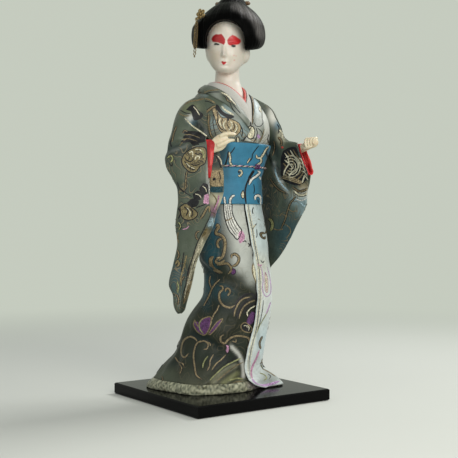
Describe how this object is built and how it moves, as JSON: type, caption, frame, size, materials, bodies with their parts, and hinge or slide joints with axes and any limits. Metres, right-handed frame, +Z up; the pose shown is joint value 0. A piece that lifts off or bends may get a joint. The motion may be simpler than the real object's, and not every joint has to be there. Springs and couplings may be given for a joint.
{
  "type": "geisha doll",
  "caption": "Standing kimono doll with hanging sleeves, obi, dressed hair and a hanging bead ornament, fixed on a square lacquered board; the head turns.",
  "frame": {"origin": "centre of the board's underside", "axes": "+Z up, the doll's body faces -Y, its left hand is on the +X side"},
  "size_m": [0.18, 0.18, 0.4685],
  "materials": {
    "lacquer": "glossy black lacquer",
    "steel": "bare",
    "wood": "bare",
    "straw": "packed straw and wadding",
    "brocade": "woven brocade with gold scrolls",
    "pale_brocade": "woven brocade",
    "obi_cloth": "woven",
    "teal_cloth": "woven",
    "cord_cloth": "braided",
    "red_satin": "satin",
    "coral": "woven",
    "white_cloth": "woven",
    "shell_white": "satin white with red make-up",
    "ivory": "satin",
    "eye_black": "glossy",
    "hair": "combed and lacquered fibre",
    "gold": "antique",
    "tortoise": "glossy"
  },
  "bodies": {
    "figure": {"base_board": "lacquer", "base_screw_1": "steel", "base_screw_2": "steel", "leg_post_1": "wood", "leg_post_2": "wood", "body_core": "straw", "neck_post": "wood", "arm_wire_right": "steel", "arm_wire_left": "steel", "hand_right": "ivory", "hand_left": "ivory", "kimono_skirt": "brocade", "hem_roll": "pale_brocade", "front_panel": "pale_brocade", "obi_band": "obi_cloth", "obi_cord": "cord_cloth", "obi_cord_knot": "cord_cloth", "obi_bow": "obi_cloth", "obi_tail": "teal_cloth", "kimono_bodice": "brocade", "kimono_collar": "pale_brocade", "collar_white": "white_cloth", "collar_red": "coral", "sleeve_right": "brocade", "sleeve_left": "brocade", "cuff_lining_right": "red_satin", "cuff_lining_left": "red_satin"},
    "head": {"head": "shell_white", "eye_right": "eye_black", "eye_left": "eye_black", "hair_front": "hair", "hair_wing_right": "hair", "hair_wing_left": "hair", "hair_back": "hair", "hair_topknot": "hair", "hair_stick": "tortoise", "flower_pin": "gold"},
    "strand": {"bead_strand": "gold"}
  },
  "joints": [
    {"name": "neck_turn", "type": "hinge", "parent": "figure", "child": "head", "pos_m": [0.006, -0.0065, 0.345], "axis": [0, 0, 1], "range_deg": [-20, 45]},
    {"name": "strand_swing", "type": "hinge", "parent": "head", "child": "strand", "pos_m": [-0.03796, -0.0085, 0.433], "axis": [-0.0454, 0.999, 0], "range_deg": [0, 40]}
  ]
}
